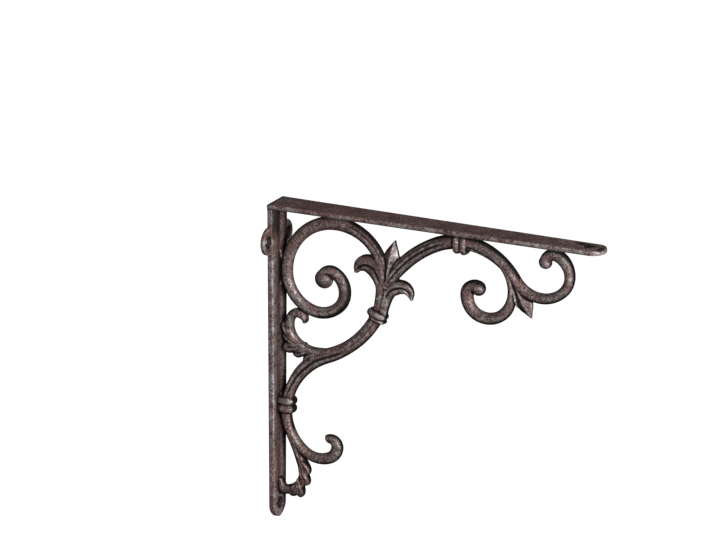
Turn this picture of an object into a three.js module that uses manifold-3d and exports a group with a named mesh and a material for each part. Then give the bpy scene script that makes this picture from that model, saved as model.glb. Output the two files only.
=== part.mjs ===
// Ornate cast iron shelf bracket: one casting, a flat arm for the shelf, a flat wall plate with two
// screw ears, and a scrollwork of tapering strands, leaves and collars that ties the two together.
// Millimetres. +X runs out from the wall along the arm, +Y across the plates, +Z up.
// The origin lies on the wall face, half way across, level with the two screw holes in the ears.
import * as THREE from 'three';
import { mergeVertices } from 'three/addons/utils/BufferGeometryUtils.js';
import Module from 'manifold-3d';

const wasm = await Module();
wasm.setup();

// Plates
const armLength = 241.3;
const wallHeight = 216;
const armThickness = 3.4;
const wallThickness = 4.2;
const armWidthAtWall = 22.6;
const armWidthAtTip = 18.5;
const wallWidthAtTop = 21.8;
const wallWidthAtFoot = 17.5;
const armPointLength = 8.5;
const footPointLength = 9;
const edgeChamfer = 0.6;
// How full the rounded ends are: how far they run straight, and how wide they still are at their very end
const endStraightShare = 0.6;
const armEndWidthShare = 0.5;
const footEndWidthShare = 0.3;

// Screw ears and screw holes
const earCentreDrop = 25;
const earRadius = 9.3;
const earOverhang = 9.8;
const earThickness = 3.2;
const earHoleInset = 6.7;
const screwHoleDiameter = 4.6;
const screwHeadDiameter = 8.6;
const screwHeadDepth = 1.9;
const footHoleRise = 9.5;
const armHoleInset = 13.5;
const armHoleDiameter = 5.2;
const cutterSpare = 2;

// Scrollwork: depth front to back, and the smoothness of its bends
const strandDepth = 7.4;
const leafDepth = 7.8;
const collarDepth = 11;
const collarNeckDepth = 10.1;
const smallEyeDepth = 7;
const lobeDepth = 8.6;
const seatDepth = 2.6;
const seatTipWidth = 0.8;
const bendStepDegrees = 12;
const longestStep = 7;
const endCurveSteps = 5;
const holeSides = 16;
const collarSides = 12;
const eyeSides = 14;
const eyeRings = 8;

// Shape of a collar's ring: width of its ends and length of its flat band, as shares
const ringEndShare = 0.84;
const ringBandShare = 0.45;

// Shape of a leaf front to back: thin at the root, full at its widest, thin again at the tip
const leafDepths = [[0, 0.75], [0.6, 1], [1, 0.35]];

// Shape of a rounded lobe: its width as shares of the full width, and its depth
const lobeWidths = [[0, 0.2], [0.45, 0.85], [0.7, 1], [0.88, 0.8], [1, 0.25]];
const lobeDepths = [[0, 0.8], [0.45, 1], [0.75, 0.72], [1, 0.4]];
// Lengths of its blade, its shoulder and its rounded end, as shares
const lobeRuns = [0.6, 0.28, 0.12];

// How close two points are taken as one, and two shares as equal
const samePoint = 1e-5;
const sameShare = 1e-9;

// The scrollwork is drawn for these plates, and stretches with the arm and the wall plate
const drawnArmLength = 240.9;
const drawnWallHeight = 216;
const drawnArmThickness = 3.4;
const drawnWallThickness = 3.8;

// Heights above the origin
const shelfPlane = earCentreDrop;
const armUnderside = shelfPlane - armThickness;
const footEnd = shelfPlane - wallHeight;

// Half the width over both ears
const earTip = wallWidthAtTop / 2 + earOverhang;

const alongStretch = (armLength - wallThickness) / (drawnArmLength - drawnWallThickness);
const downStretch = (wallHeight - armThickness) / (drawnWallHeight - drawnArmThickness);

// A drawn point (distance from the wall face, depth below the shelf plane) in its place on the bracket
function place(x, drop) {
  return {
    x: wallThickness + (x - drawnWallThickness) * alongStretch,
    z: armUnderside - (drop - drawnArmThickness) * downStretch,
  };
}

function toSolid(geometry) {
  const bare = geometry.clone();
  bare.deleteAttribute('normal');
  bare.deleteAttribute('uv');
  const merged = mergeVertices(bare, samePoint);
  return new wasm.Manifold(new wasm.Mesh({
    numProp: 3,
    vertProperties: new Float32Array(merged.attributes.position.array),
    triVerts: new Uint32Array(merged.index.array),
  }));
}

function toGeometry(solid) {
  const mesh = solid.getMesh();
  const geometry = new THREE.BufferGeometry();
  geometry.setAttribute('position', new THREE.BufferAttribute(new Float32Array(mesh.vertProperties), 3));
  geometry.setIndex(new THREE.BufferAttribute(new Uint32Array(mesh.triVerts), 1));
  const faceted = geometry.toNonIndexed();
  faceted.computeVertexNormals();
  return faceted;
}

// Outlines of a strand, a leaf and a seat: 1 is the half width across and the half depth front to back
const strandOutline = outline([[1, 0.42], [0.52, 0.86], [0, 1]]);
const leafOutline = outline([[1, 0.24], [0, 1]]);
const seatOutline = outline([[1, 1]]);

function outline(quarter) {
  const inner = quarter.filter(([u]) => u > 0);
  const mirrored = inner.map(([u, v]) => [-u, v]).reverse();
  const front = [...quarter, ...mirrored];
  const back = front.map(([u, v]) => [u, -v]).reverse();
  return new THREE.Shape([...front, ...back].map(([u, v]) => new THREE.Vector2(u, v)));
}

// Walks a chain of tangent bends, each [radius, degrees]: plus turns left, minus turns right.
// A bend of 0 degrees is a straight run, and its radius is then its length.
function walk(start, headingDegrees, bends) {
  let [x, drop] = start;
  let heading = THREE.MathUtils.degToRad(headingDegrees);
  let travelled = 0;
  const stations = [{ x, drop, heading, travelled }];
  for (const [radius, degrees] of bends) {
    const sweep = THREE.MathUtils.degToRad(degrees);
    const length = degrees === 0 ? radius : radius * Math.abs(sweep);
    const steps = Math.ceil(Math.max(Math.abs(degrees) / bendStepDegrees, length / longestStep));
    for (let i = 0; i < steps; i += 1) {
      const turn = sweep / steps;
      const chord = degrees === 0 ? length / steps : 2 * radius * Math.sin(Math.abs(turn) / 2);
      x += chord * Math.cos(heading + turn / 2);
      drop -= chord * Math.sin(heading + turn / 2);
      heading += turn;
      travelled += length / steps;
      stations.push({ x, drop, heading, travelled });
    }
  }
  return stations.map((station) => ({ ...station, share: station.travelled / travelled }));
}

// Reads a profile of [share of the length, value] pairs at one share
function profileAt(profile, share) {
  const next = profile.findIndex(([at]) => at >= share - sameShare);
  if (next <= 0) return profile[0][1];
  const [from, a] = profile[next - 1];
  const [to, b] = profile[next];
  return a + (b - a) * (share - from) / (to - from);
}

// A bar extruded straight and then bent along a chain, with its width and depth set at every station
function bentBar({ start, heading, bends, widths, depths = [[0, 1], [1, 1]], depth = strandDepth,
  section = strandOutline }) {
  const stations = walk(start, heading, bends);
  const steps = stations.length - 1;
  const bar = new THREE.ExtrudeGeometry(section, { depth: 1, steps, bevelEnabled: false });
  const position = bar.attributes.position;
  for (let i = 0; i < position.count; i += 1) {
    const station = stations[Math.round(position.getZ(i) * steps)];
    const halfWidth = profileAt(widths, station.share) / 2;
    const halfDepth = depth * profileAt(depths, station.share) / 2;
    const across = position.getX(i) * halfWidth;
    const { x, z } = place(station.x, station.drop);
    position.setXYZ(
      i,
      x + across * Math.sin(station.heading),
      position.getY(i) * halfDepth,
      z - across * Math.cos(station.heading),
    );
  }
  return toSolid(bar);
}

// A leaf that swells from its root and ends in a point
function leaf(options) {
  return bentBar({ depth: leafDepth, depths: leafDepths, section: leafOutline, ...options });
}

// A leaf with a rounded end, its width given at its widest
function lobe({ root, heading, length, width }) {
  return leaf({
    start: root,
    heading,
    bends: lobeRuns.map((share) => [share * length, 0]),
    widths: lobeWidths.map(([at, share]) => [at, share * width]),
    depths: lobeDepths,
    depth: lobeDepth,
  });
}

// One ring of a collar: a short barrel turned about the strand and flattened front to back
function ring([x, drop], headingDegrees, width, length, depth = collarDepth) {
  const half = length / 2;
  const lip = width / 2;
  const profile = [
    new THREE.Vector2(0, -half),
    new THREE.Vector2(lip * ringEndShare, -half),
    new THREE.Vector2(lip, -half * ringBandShare),
    new THREE.Vector2(lip, half * ringBandShare),
    new THREE.Vector2(lip * ringEndShare, half),
    new THREE.Vector2(0, half),
  ];
  const barrel = new THREE.LatheGeometry(profile, collarSides);
  barrel.scale(1, 1, depth / width);
  barrel.rotateX(Math.PI / 2);
  barrel.rotateY(Math.PI / 2 - THREE.MathUtils.degToRad(headingDegrees));
  const centre = place(x, drop);
  barrel.translate(centre.x, 0, centre.z);
  return toSolid(barrel);
}

// The rolled eye at the end of a scroll
function eye([x, drop], radius, depth = strandDepth) {
  const ball = new THREE.SphereGeometry(radius, eyeSides, eyeRings);
  ball.scale(1, depth / 2 / radius, 1);
  const centre = place(x, drop);
  ball.translate(centre.x, 0, centre.z);
  return toSolid(ball);
}

// A plate's outline from its straight root at 0 to its rounded end, lying along the first axis
function tongue(widthAtRoot, widthAtTip, length, endLength, endWidthShare) {
  const root = widthAtRoot / 2;
  const tip = widthAtTip / 2;
  const shoulder = length - endLength;
  const straight = shoulder + endLength * endStraightShare;
  const shape = new THREE.Shape();
  shape.moveTo(0, -root);
  shape.lineTo(shoulder, -tip);
  shape.bezierCurveTo(straight, -tip, length, -tip * endWidthShare, length, 0);
  shape.bezierCurveTo(length, tip * endWidthShare, straight, tip, shoulder, tip);
  shape.lineTo(0, root);
  shape.closePath();
  return shape;
}

// A plate with chamfered edges, from 0 up to its thickness
function plate(shape, thickness) {
  const geometry = new THREE.ExtrudeGeometry(shape, {
    depth: thickness - 2 * edgeChamfer,
    curveSegments: endCurveSteps,
    bevelEnabled: true,
    bevelThickness: edgeChamfer,
    bevelSize: edgeChamfer,
    bevelOffset: -edgeChamfer,
    bevelSegments: 1,
  });
  geometry.translate(0, 0, edgeChamfer);
  return geometry;
}

function armPlate() {
  const arm = plate(
    tongue(armWidthAtWall, armWidthAtTip, armLength, armPointLength, armEndWidthShare),
    armThickness,
  );
  arm.translate(0, 0, armUnderside);
  return toSolid(arm);
}

// The wall plate hangs down from the middle of the arm's thickness, with its back on the wall
function wallPlate() {
  const top = armUnderside + armThickness / 2;
  const wall = plate(
    tongue(wallWidthAtTop, wallWidthAtFoot, top - footEnd, footPointLength, footEndWidthShare),
    wallThickness,
  );
  wall.rotateY(Math.PI / 2);
  wall.translate(0, 0, top);
  return toSolid(wall);
}

// Both ears in one lozenge with round ends, behind and beside the wall plate
function ears() {
  const reach = earTip - earRadius;
  const shape = new THREE.Shape();
  shape.absarc(0, reach, earRadius, 0, Math.PI, false);
  shape.absarc(0, -reach, earRadius, Math.PI, Math.PI * 2, false);
  shape.closePath();
  const lozenge = plate(shape, earThickness);
  lozenge.rotateY(Math.PI / 2);
  return toSolid(lozenge);
}

// A screw hole with a conical seat, through a plate whose front lies at the given distance from the wall
function wallScrewHole(y, z, front) {
  const hole = screwHoleDiameter / 2;
  const head = screwHeadDiameter / 2;
  const cutter = new THREE.LatheGeometry([
    new THREE.Vector2(0, -cutterSpare),
    new THREE.Vector2(hole, -cutterSpare),
    new THREE.Vector2(hole, front - screwHeadDepth),
    new THREE.Vector2(head, front),
    new THREE.Vector2(head, front + cutterSpare),
    new THREE.Vector2(0, front + cutterSpare),
  ], holeSides);
  cutter.rotateZ(-Math.PI / 2);
  cutter.translate(0, y, z);
  return toSolid(cutter);
}

function armScrewHole() {
  const radius = armHoleDiameter / 2;
  const cutter = new THREE.CylinderGeometry(radius, radius, armThickness + 2 * cutterSpare, holeSides);
  cutter.rotateX(Math.PI / 2);
  cutter.translate(armLength - armHoleInset, 0, shelfPlane - armThickness / 2);
  return toSolid(cutter);
}

// Big spiral under the arm, against the wall plate, rolled up to its eye
function bigSpiral() {
  return [
    bentBar({
      start: [76.6, 57],
      heading: 64,
      bends: [[32.5, 84], [36, 73], [37.5, 49], [25.5, 75], [20, 60], [14.3, 108], [6.5, 78]],
      widths: [[0, 6], [0.1, 8], [0.2, 8.4], [0.3, 9.2], [0.42, 8.6], [0.52, 7.8], [0.72, 7.6], [0.8, 7.7],
        [0.93, 8.6], [1, 7]],
    }),
    eye([36.1, 48.7], 6.5),
  ];
}

// Front branch: from the flower over the arm collar and down into the end scroll below the arm's tip
function frontBranch() {
  return [
    bentBar({
      start: [81.3, 47.9],
      heading: 61,
      bends: [[80, -37], [46.4, -51], [46, -29], [22.6, 102], [15, 48], [14.5, 59], [7, 99]],
      widths: [[0, 7], [0.1, 9.8], [0.35, 9.8], [0.45, 9.2], [0.57, 7.6], [0.68, 7.2], [0.76, 7], [0.86, 7],
        [0.93, 9], [1, 7.4]],
    }),
    eye([197.6, 15], 4.3, smallEyeDepth),
  ];
}

// Inner volute that leaves the front branch and rolls back
function innerVolute() {
  return [
    bentBar({
      start: [165.3, 19.5],
      heading: -42,
      bends: [[25, -74], [17.6, -81], [13.5, -80], [7, -88]],
      widths: [[0, 6], [0.3, 6.2], [0.42, 7.6], [0.6, 8], [0.8, 8.6], [0.9, 9.2], [1, 7]],
    }),
    eye([148.8, 39.2], 5.2),
  ];
}

// Lower branch: from the upper collar down to the wall plate and out again into the hook
function lowerBranch() {
  return [
    bentBar({
      start: [76.2, 66.6],
      heading: -116,
      bends: [[69, -43], [48, 58], [32, 66], [18.7, 59], [9.2, 58], [5.2, 124]],
      widths: [[0, 9], [0.2, 8.9], [0.31, 10.2], [0.42, 9.2], [0.5, 7.8], [0.65, 7.2], [0.8, 6.5], [0.9, 8.2],
        [0.96, 8], [1, 5]],
    }),
  ];
}

// Small leafy scroll between the lower branch and the wall plate, with five lobes along its outer side
function leafyScroll() {
  return [
    bentBar({
      start: [41.6, 97],
      heading: -154,
      bends: [[26, -26], [22, -36], [15.5, -54], [12, -26], [5.7, -92], [5, -72]],
      widths: [[0, 4], [0.15, 6.4], [0.4, 6.2], [0.6, 5.8], [0.8, 6.2], [0.92, 6.4], [1, 1.6]],
    }),
    ...[
      { root: [13.8, 91.6], heading: 126, length: 12, width: 6.2 },
      { root: [17.6, 95], heading: 155, length: 12, width: 6.6 },
      { root: [22.5, 95.4], heading: -164, length: 16.4, width: 8.2 },
      { root: [27, 97.4], heading: -156, length: 14.2, width: 7 },
      { root: [33.4, 98.6], heading: -143, length: 15, width: 6.6 },
    ].map(lobe),
  ];
}

// Fleur above the upper collar: two stalks that open into curled leaves, and a pointed leaf between them
function fleur() {
  return [
    leaf({
      start: [74.7, 68.2],
      heading: 72,
      bends: [[80, 12], [22, 40], [8, 90], [8, 50]],
      widths: [[0, 6.6], [0.4, 7.4], [0.55, 11], [0.68, 13.4], [0.8, 12], [0.9, 7.6], [1, 1]],
    }),
    leaf({
      start: [78.6, 68.2],
      heading: 83,
      bends: [[50, -18], [12, -60], [6.5, -80], [20, -10]],
      widths: [[0, 6.6], [0.35, 7.6], [0.6, 10], [0.78, 8.4], [0.9, 5.6], [1, 1]],
    }),
    leaf({
      start: [82.8, 46],
      heading: 84,
      bends: [[210, -8.5]],
      widths: [[0, 4], [0.45, 8], [0.66, 11], [0.8, 7.4], [1, 0.8]],
      depths: [[0, 0.9], [0.6, 1], [1, 0.45]],
    }),
  ];
}

// Leaf in the fork of the front branch and the inner volute
function forkLeaf() {
  return [
    leaf({
      start: [174.6, 31],
      heading: -57.5,
      bends: [[200, -7.6]],
      widths: [[0, 3], [0.35, 8], [0.6, 11.8], [0.72, 10.2], [1, 0.8]],
    }),
    leaf({ start: [174.8, 36], heading: -72, bends: [[60, -12]], widths: [[0, 4], [0.5, 5], [1, 0.8]] }),
  ];
}

// Lobed frond from the lower branch back to the foot of the wall plate
function footFrond() {
  return [
    bentBar({
      start: [11, 158.5],
      heading: -59,
      bends: [[110, -12], [12.6, -61], [14.3, -60], [4, 0]],
      widths: [[0, 4], [0.3, 6.6], [0.5, 7], [0.7, 6.6], [0.85, 6.4], [1, 8]],
      depths: [[0, 1], [0.8, 0.85], [1, 0.5]],
    }),
    ...[
      { root: [17.2, 171.4], heading: -58, length: 15, width: 6.2 },
      { root: [18.4, 179], heading: -65, length: 14, width: 6.2 },
      { root: [17.4, 187.7], heading: -82, length: 13, width: 6.2 },
      { root: [17, 190.3], heading: -117, length: 11, width: 7.2 },
    ].map(lobe),
  ];
}

function collars() {
  return [
    // upper collar, between the stem of the fleur and the lower branch
    ring([75.4, 67.3], 72, 14.2, 3.8),
    ring([75.6, 70.5], 70, 12.4, 2.6, collarNeckDepth),
    // arm collar, on the front branch against the arm
    ring([134, 10.8], 0, 13.4, 4.8),
    ring([139, 10.8], 0, 14.2, 4.8),
    // lower collar, on the lower branch against the wall plate
    ring([9.1, 135.4], 90, 12.4, 5.2),
    ring([9.1, 140.8], 90, 12, 5.2),
  ];
}

// A cast seat that fills the thin gap where a scroll lies against a plate
function seat({ start, heading, length, width }) {
  return bentBar({
    start,
    heading,
    bends: [[length / 2, 0], [length / 2, 0]],
    widths: [[0, seatTipWidth], [0.5, width], [1, seatTipWidth]],
    depth: seatDepth,
    section: seatOutline,
  });
}

function seats() {
  return [
    // under the arm: big spiral, arm collar, end scroll
    { start: [33, 3.6], heading: 0, length: 29, width: 6.4 },
    { start: [118, 3.6], heading: 0, length: 36, width: 7 },
    { start: [194, 3.6], heading: 0, length: 22, width: 6.4 },
    // on the wall plate: big spiral, lower collar
    { start: [4.4, 33], heading: -90, length: 24, width: 4.6 },
    { start: [4.4, 131], heading: -90, length: 16, width: 7 },
  ].map(seat);
}

function joined(solids) {
  return solids.reduce((whole, solid) => whole.add(solid));
}

const casting = joined([
  armPlate(),
  wallPlate(),
  ears(),
  ...bigSpiral(),
  ...frontBranch(),
  ...innerVolute(),
  ...lowerBranch(),
  ...leafyScroll(),
  ...fleur(),
  ...forkLeaf(),
  ...footFrond(),
  ...collars(),
  ...seats(),
]);

const holes = joined([
  wallScrewHole(earHoleInset - earTip, 0, earThickness),
  wallScrewHole(earTip - earHoleInset, 0, earThickness),
  wallScrewHole(0, footEnd + footHoleRise, wallThickness),
  armScrewHole(),
]);

const castIron = new THREE.MeshStandardMaterial({ color: 0x57474a, roughness: 0.62, metalness: 0.75 });

const bracket = new THREE.Mesh(toGeometry(casting.subtract(holes)), castIron);
bracket.name = 'bracket';

const model = new THREE.Group();
model.add(bracket);

export default model;
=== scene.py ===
# %% [markdown]
# # An ornate cast iron shelf bracket
# The real bracket is one sand casting: a flat arm for the shelf, a flat wall plate with two screw ears, and
# scrollwork of tapering strands, leaves and collars between them. The CAD model gives its sizes and its plain
# form. This lesson builds the same form again with the relief that a founder's pattern has, such as grooves,
# veins, rolled eyes and soft joints, and then gives it the worn brown skin of old iron.

import bpy
import numpy as np
from mathutils import Matrix, Vector


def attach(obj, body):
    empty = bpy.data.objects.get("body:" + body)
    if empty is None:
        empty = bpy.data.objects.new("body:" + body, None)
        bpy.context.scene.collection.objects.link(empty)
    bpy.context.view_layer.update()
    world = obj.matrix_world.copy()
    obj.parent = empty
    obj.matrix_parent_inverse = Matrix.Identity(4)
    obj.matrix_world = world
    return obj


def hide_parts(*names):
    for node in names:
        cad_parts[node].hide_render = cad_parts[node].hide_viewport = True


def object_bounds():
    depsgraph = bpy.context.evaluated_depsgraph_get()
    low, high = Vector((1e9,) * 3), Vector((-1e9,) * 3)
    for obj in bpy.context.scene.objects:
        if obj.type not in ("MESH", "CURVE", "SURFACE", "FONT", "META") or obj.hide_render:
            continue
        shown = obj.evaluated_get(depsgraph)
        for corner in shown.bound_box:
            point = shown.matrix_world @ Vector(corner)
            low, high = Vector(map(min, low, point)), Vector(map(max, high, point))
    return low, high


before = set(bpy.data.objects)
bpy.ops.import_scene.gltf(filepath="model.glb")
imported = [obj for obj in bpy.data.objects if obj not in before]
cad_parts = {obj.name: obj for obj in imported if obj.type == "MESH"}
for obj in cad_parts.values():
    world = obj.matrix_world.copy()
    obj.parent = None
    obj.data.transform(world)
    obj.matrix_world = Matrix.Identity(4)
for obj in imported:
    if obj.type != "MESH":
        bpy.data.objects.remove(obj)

cad_low, cad_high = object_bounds()
MM = 0.001
print("CAD box in mm:", [round(v / MM, 1) for v in (*cad_low, *cad_high)])

# %% [markdown]
# ## The camera
# The photograph was taken from far away with a long lens, so lines that are level and parallel on the bracket
# stay nearly parallel in the picture. The camera looks from the arm's side, turned 27 degrees towards the tip
# and 17 degrees above, and one millimetre on the bracket is 1.535 pixels.

# %% Place the camera
IMAGE_WIDTH = 716
PIXELS_PER_MM = 1.535
TURN = np.radians(27.1)
RISE = np.radians(17.1)
CAMERA_DISTANCE = 12.0
PICTURE_CENTRE = Vector((61.3, 0.0, -14.2)) * MM

right = Vector((np.cos(TURN), np.sin(TURN), 0))
towards = Vector((np.sin(TURN) * np.cos(RISE), -np.cos(TURN) * np.cos(RISE), np.sin(RISE)))
up = towards.cross(right)
camera_data = bpy.data.cameras.new("camera")
camera = bpy.data.objects.new("camera", camera_data)
bpy.context.scene.collection.objects.link(camera)
turn = Matrix((right, up, towards)).transposed().to_4x4()
camera.matrix_world = Matrix.Translation(PICTURE_CENTRE + towards * CAMERA_DISTANCE) @ turn
camera_data.lens = camera_data.sensor_width * CAMERA_DISTANCE / (IMAGE_WIDTH / PIXELS_PER_MM * MM)
bpy.context.scene.camera = camera
print("camera lens in mm:", round(camera_data.lens))

# %% [markdown]
# ## Paths
# A founder's pattern maker draws a scroll as arcs that run into each other without a kink. Each strand is
# written the same way here, as a start, a heading and a chain of [radius, degrees]. The points are given as
# millimetres out from the wall and millimetres below the shelf plane, as they are in the CAD model.

# %% Walk along a chain of arcs
PATH_STEP = 0.7
OUT_FROM_WALL = 0.4
PROFILE_BLUR = 0.03
BLUR_SAMPLES = 9


def place(x, drop):
    """Metres in the frame for a point given as mm out from the wall and mm below the shelf plane."""
    return (x + OUT_FROM_WALL) * MM, cad_high.z - drop * MM


def walk(start, heading, bends):
    """Points along a chain of arcs. With heading a, an arc of radius r that turns left runs through
    x = x0 + r (sin a - sin a0), z = z0 + r (cos a0 - cos a), and a right turn has -r in place of r."""
    x, z = start[0], -start[1]
    a = np.radians(heading)
    xs, zs, headings, lengths = [np.array([x])], [np.array([z])], [np.array([a])], [np.array([0.0])]
    travelled = 0.0
    for radius, degrees in bends:
        length = radius if degrees == 0 else radius * abs(np.radians(degrees))
        t = np.linspace(0, 1, max(2, int(np.ceil(length / PATH_STEP))) + 1)[1:]
        angles = a + np.radians(degrees) * t
        if degrees == 0:
            new_x, new_z = x + length * t * np.cos(a), z + length * t * np.sin(a)
        else:
            signed = radius * np.sign(degrees)
            new_x = x + signed * (np.sin(angles) - np.sin(a))
            new_z = z + signed * (np.cos(a) - np.cos(angles))
        xs.append(new_x)
        zs.append(new_z)
        headings.append(angles)
        lengths.append(travelled + length * t)
        x, z, a, travelled = new_x[-1], new_z[-1], angles[-1], travelled + length
    xs, zs, headings, lengths = map(np.concatenate, (xs, zs, headings, lengths))
    px, pz = place(xs, -zs)
    return px, pz, headings, lengths / travelled


def read_profile(pairs, share):
    """Values of [share, value] pairs read at each share, with their corners rounded off by averaging the
    line over a small window."""
    at, values = np.array(pairs, float).T
    offsets = np.linspace(-PROFILE_BLUR, PROFILE_BLUR, BLUR_SAMPLES)
    return np.mean([np.interp(share + offset, at, values) for offset in offsets], axis=0)


example = walk([0, 0], 0, [[10, 90]])
print("a quarter turn of 10 mm radius ends at", [round(v[-1] / MM, 1) for v in example[:2]])


# %% [markdown]
# ## Closed skins
# Every form is a grid of points: one way round its section, the other way along its path. The first and last
# rows are closed with a flat face, so each form is a closed skin, and a check of its signed volume turns the
# faces outwards.

# %% Turn a grid of points into a closed skin
skins = []


def close_grid(rows):
    """A closed skin from an array (rows, points round, 3): quads between the rows, and a cap at each end."""
    n, m = rows.shape[:2]
    points = rows.reshape(-1, 3)
    i, j = np.meshgrid(np.arange(n - 1), np.arange(m), indexing="ij")
    k = (j + 1) % m
    quads = np.stack([i * m + j, i * m + k, (i + 1) * m + k, (i + 1) * m + j], axis=-1).reshape(-1, 4)
    corners = points[quads]
    diagonals = np.cross(corners[:, 2] - corners[:, 0], corners[:, 3] - corners[:, 1])
    volume = np.einsum("ij,ij->", corners.mean(1) - points.mean(0), diagonals)
    faces = quads if volume > 0 else quads[:, ::-1]
    first, last = np.arange(m), (n - 1) * m + np.arange(m)
    caps = (first[::-1], last) if volume > 0 else (first, last[::-1])
    skins.append((points, [*faces.tolist(), *(cap.tolist() for cap in caps)]))


print("skins before the first form:", len(skins))

# %% [markdown]
# ## Sections
# A strand is rounded in front and behind with a short upright wall at each side, because a pattern must leave
# the sand without tearing it. Pointed leaves are roofs with a ridge along the middle, and curled leaves and
# lobes have full rims. Grooves and veins are cut into these as soft channels that run along the strand, full in
# front and shallower behind.

# %% Sections, grooves and the swept strand
STRAND_DEPTH = 7.4
LEAF_DEPTH = 7.8
POINTS_ACROSS = 41
BACK_GROOVE_SHARE = 0.6
GROOVE_FADE = 0.15
LEAST_DEPTH_SHARE = 0.15
across = np.cos(np.linspace(0, np.pi, POINTS_ACROSS))


def round_section(u):
    """Half depth over half width: 0.22 at the edges, rising by 0.78 (1 - u^2)^0.62 to 1 in the middle."""
    return 0.22 + 0.78 * (1 - u ** 2) ** 0.62


def roof_section(u):
    """Half depth over half width: two slopes from 0.26 at the edges to a ridge, 0.26 + 0.74 (1 - |u|)^0.9."""
    return 0.26 + 0.74 * (1 - np.abs(u)) ** 0.9


def cupped_section(u):
    """A leaf with full rims and a broad back: 0.42 + 0.58 (1 - |u|^2.6)^0.6."""
    return 0.42 + 0.58 * (1 - np.abs(u) ** 2.6) ** 0.6


def channel(share, offset, half_width, start, end, from_u, to_u, depth, width):
    """Depth of a groove: depth exp(-(d / width)^2), where d is the distance across from the groove's line,
    and the line runs from from_u to to_u of the half width between the shares start and end."""
    t = np.clip((share - start) / (end - start), 0, 1)
    line = (from_u + (to_u - from_u) * t)[:, None] * half_width[:, None]
    fade = np.clip(np.minimum(share - start, end - share) / (GROOVE_FADE * (end - start)), 0, 1)
    fade = fade * fade * (3 - 2 * fade)
    return depth * fade[:, None] * np.exp(-((offset - line) / width) ** 2)


def strand(start, heading, bends, widths, depths=((0, 1), (1, 1)), depth=STRAND_DEPTH, section=round_section,
           grooves=()):
    """A skin along a chain of arcs. The point at share s and across u is
    (x + u w sin a, -y or +y, z - u w cos a), w half the width at s, and y the half depth times section(u)."""
    x, z, a, share = walk(start, heading, bends)
    half_width = read_profile(widths, share) / 2
    half_depth = depth * read_profile(depths, share) / 2
    offset = half_width[:, None] * across[None, :]
    body = half_depth[:, None] * section(across)[None, :]
    cut = sum((channel(share, offset, half_width, *groove) for groove in grooves), np.zeros_like(body))
    least = LEAST_DEPTH_SHARE * half_depth[:, None]
    front = -np.maximum(body - cut, least)
    back = np.maximum(body - BACK_GROOVE_SHARE * cut, least)[:, ::-1]
    offsets = np.concatenate([offset, offset[:, ::-1]], axis=1) * MM
    y = np.concatenate([front, back], axis=1) * MM
    rows = np.stack([x[:, None] + offsets * np.sin(a)[:, None], y,
                     z[:, None] - offsets * np.cos(a)[:, None]], axis=-1)
    close_grid(rows)


def leaf(start, heading, bends, widths, depths=((0, 0.75), (0.6, 1), (1, 0.35)), depth=LEAF_DEPTH,
         section=roof_section, grooves=()):
    """A strand with a ridge, thinner from front to back at its root and tip."""
    strand(start, heading, bends, widths, depths, depth, section, grooves)


print("half depths from edge to middle:", [(f.__name__, f(np.array([1, 0.5, 0])).round(2).tolist())
                                           for f in (round_section, roof_section, cupped_section)])

# %% [markdown]
# ## Rolled eyes and collars
# A scroll ends in an eye, a flattened ball that the strand rolls up to. A collar is a band that seems to tie
# two strands together. Both are turned forms, so they are worked out as rings round an axis.

# %% Eyes and collar rings
RING_POINTS = 64
EYE_RINGS = 40
BEAD_RINGS = 15
POLE_GAP = 0.02


def eye(centre, radius, depth):
    """A ball flattened front to back: x = r sin(p) cos(t), z = r sin(p) sin(t), y = d cos(p) / 2."""
    p = np.linspace(POLE_GAP, np.pi - POLE_GAP, EYE_RINGS)[:, None]
    t = np.linspace(0, 2 * np.pi, RING_POINTS, endpoint=False)[None, :]
    x, z = place(*centre)
    rows = np.stack([x + radius * MM * np.sin(p) * np.cos(t), depth / 2 * MM * np.cos(p) * np.ones_like(t),
                     z + radius * MM * np.sin(p) * np.sin(t)], axis=-1)
    close_grid(rows)


def bead(centre, heading, width, length, depth):
    """One ring of a collar, bulging along its length: at s from -1 to 1 its size is 1 - 0.2 |s|^2.5, and its
    section is the rounded oblong |u|^3 + |v|^3 = 1 of the given width and depth."""
    s = np.linspace(-1, 1, BEAD_RINGS)[:, None]
    t = np.linspace(0, 2 * np.pi, RING_POINTS, endpoint=False)[None, :]
    size = 1 - 0.2 * np.abs(s) ** 2.5
    u = size * np.sign(np.cos(t)) * np.abs(np.cos(t)) ** (2 / 3) * width / 2 * MM
    v = size * np.sign(np.sin(t)) * np.abs(np.sin(t)) ** (2 / 3) * depth / 2 * MM
    x, z = place(*centre)
    a = np.radians(heading)
    along = s * length / 2 * MM * np.ones_like(t)
    rows = np.stack([x + along * np.cos(a) + u * np.sin(a), v, z + along * np.sin(a) - u * np.cos(a)], axis=-1)
    close_grid(rows)


print("points round an eye or a bead:", RING_POINTS)

# %% [markdown]
# ## The big spiral
# It fills the corner under the arm and rolls in to a round eye. It is widest where it passes the arm, and a
# soft groove runs beside its crest at the start and again on the way in to the eye.

# %% Big spiral
strand([76.6, 57], 64, [[32.5, 84], [36, 73], [37.5, 49], [25.5, 75], [20, 60], [14.3, 108], [6.5, 78]],
       [[0, 6], [0.1, 8], [0.2, 8.4], [0.3, 9.2], [0.42, 8.6], [0.52, 7.8], [0.72, 7.6], [0.8, 7.7], [0.93, 8.6],
        [1, 7]],
       grooves=[(0.02, 0.3, 0.4, 0.5, 0.5, 0.7), (0.7, 1.02, -0.35, -0.5, 0.5, 0.7)])
eye([36.1, 48.7], 6.5, 8.8)
print("skins with the big spiral:", len(skins))

# %% [markdown]
# ## The front branch and the inner volute
# The branch leaves the flower as two stalks laid side by side, passes the arm collar, and rolls up behind the
# arm's tip. A volute splits off and rolls back, and a pointed leaf with a narrower one beside it fills the
# fork.

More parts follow.
